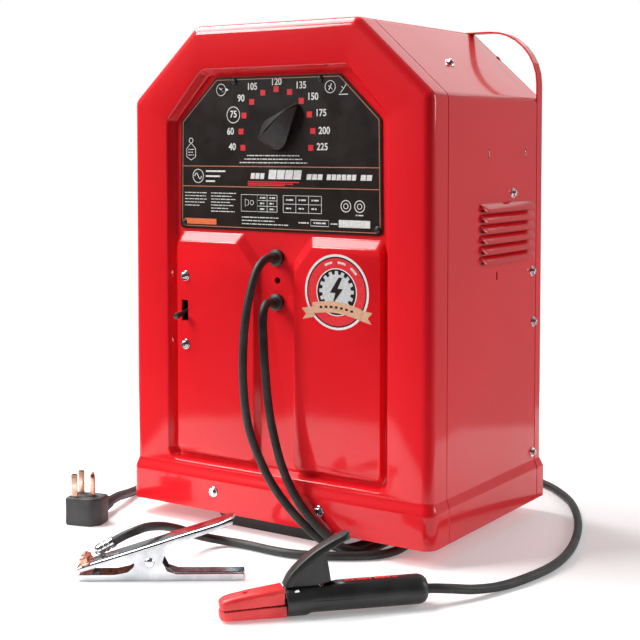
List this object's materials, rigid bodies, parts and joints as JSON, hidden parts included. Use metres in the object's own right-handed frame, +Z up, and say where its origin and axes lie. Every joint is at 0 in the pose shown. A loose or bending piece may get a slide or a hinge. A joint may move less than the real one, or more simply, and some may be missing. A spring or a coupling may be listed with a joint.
{
  "type": "stick welding machine",
  "caption": "Upright sheet-steel arc welder with rotary current selector, side louvres, rear ear handles, mains plug and leads to an electrode holder and a work clamp.",
  "frame": {"origin": "on the floor under the middle of the cabinet and its controls", "axes": "+Z up, the front faces -Y, +X to the right as seen from the front"},
  "size_m": [0.6551, 0.7435, 0.612],
  "materials": {
    "red_enamel": "gloss",
    "black_enamel": "satin",
    "plate_black": "black printed satin",
    "black_plastic": "satin",
    "zinc_steel": "zinc plated",
    "phenolic": "matt",
    "copper": "bare copper",
    "core_iron": "varnished laminations",
    "winding_wire": "enamelled wire",
    "winding_aluminium": "varnished wire",
    "fan_grey": "satin",
    "black_rubber": "satin",
    "brass": "bright",
    "holder_black": "satin",
    "holder_red": "satin",
    "spring_steel": "bright",
    "clamp_zinc": "bright zinc"
  },
  "bodies": {
    "machine": {"front_panel": "red_enamel", "case_wrap": "red_enamel", "rear_panel": "red_enamel", "base_pan": "red_enamel", "foot_rail_front": "black_enamel", "foot_rail_rear": "black_enamel", "nameplate": "plate_black", "nameplate_rivet_1": "black_plastic", "nameplate_rivet_2": "black_plastic", "nameplate_rivet_3": "black_plastic", "nameplate_rivet_4": "black_plastic", "power_switch_body": "black_plastic", "fan_motor": "black_plastic", "fan_bracket": "zinc_steel", "core_clamp_front": "zinc_steel", "core_clamp_rear": "zinc_steel", "selector_deck": "phenolic", "clamp_braid": "copper", "transformer_core": "core_iron", "primary_winding": "winding_wire", "secondary_winding": "winding_aluminium", "electrode_strain_relief": "black_rubber", "work_strain_relief": "black_rubber", "mains_strain_relief": "black_rubber", "electrode_lead_front": "black_rubber", "electrode_lead_coil": "black_rubber", "electrode_lead_end": "black_rubber", "work_lead_front": "black_rubber", "work_lead_coil": "black_rubber", "work_lead_end": "black_rubber", "mains_cord_exit": "black_rubber", "mains_cord_coil": "black_rubber", "mains_cord_end": "black_rubber", "plug_body": "black_rubber", "plug_blade_near": "brass", "plug_blade_far": "brass", "plug_ground_pin": "brass", "holder_handle": "holder_black", "holder_lower_jaw": "holder_red", "holder_pivot_pin": "spring_steel", "holder_spring": "spring_steel", "clamp_spring": "spring_steel", "clamp_pivot_rivet": "spring_steel", "clamp_lower_arm": "clamp_zinc"},
    "selector": {"selector_knob": "black_plastic", "selector_shaft": "zinc_steel", "selector_contact_arm": "copper"},
    "power_lever": {"power_switch_lever": "black_plastic"},
    "fan": {"fan_blade": "fan_grey"},
    "holder_jaw": {"holder_lever": "holder_black", "holder_upper_jaw": "holder_red"},
    "clamp_jaw": {"clamp_upper_arm": "clamp_zinc", "clamp_bolt_near": "copper", "clamp_bolt_far": "copper", "work_lug": "clamp_zinc"}
  },
  "joints": [
    {"name": "selector_turn", "type": "hinge", "parent": "machine", "child": "selector", "pos_m": [0, -0.127, 0.481], "axis": [0, 1, 0], "range_deg": [-152.6, 65.4]},
    {"name": "power_toggle", "type": "hinge", "parent": "machine", "child": "power_lever", "pos_m": [-0.135, -0.126, 0.263], "axis": [-1, 0, 0], "range_deg": [0, 28]},
    {"name": "fan_spin", "type": "hinge", "parent": "machine", "child": "fan", "pos_m": [0, 0.115, 0.39], "axis": [0, 1, 0], "continuous": true},
    {"name": "holder_squeeze", "type": "hinge", "parent": "machine", "child": "holder_jaw", "pos_m": [0.17192, -0.3365, 0.0265], "axis": [-0.7303, 0.6832, 0], "range_deg": [0, 18], "stiffness_Nm_per_rad": 0.6, "springref_deg": -28.65, "deforming": ["holder_spring"]},
    {"name": "clamp_squeeze", "type": "hinge", "parent": "machine", "child": "clamp_jaw", "pos_m": [-0.02318, -0.32785, 0.021], "axis": [-0.5689, 0.8224, 0], "range_deg": [0, 22], "stiffness_Nm_per_rad": 0.6, "springref_deg": -34.38, "deforming": ["work_lead_end"]}
  ]
}
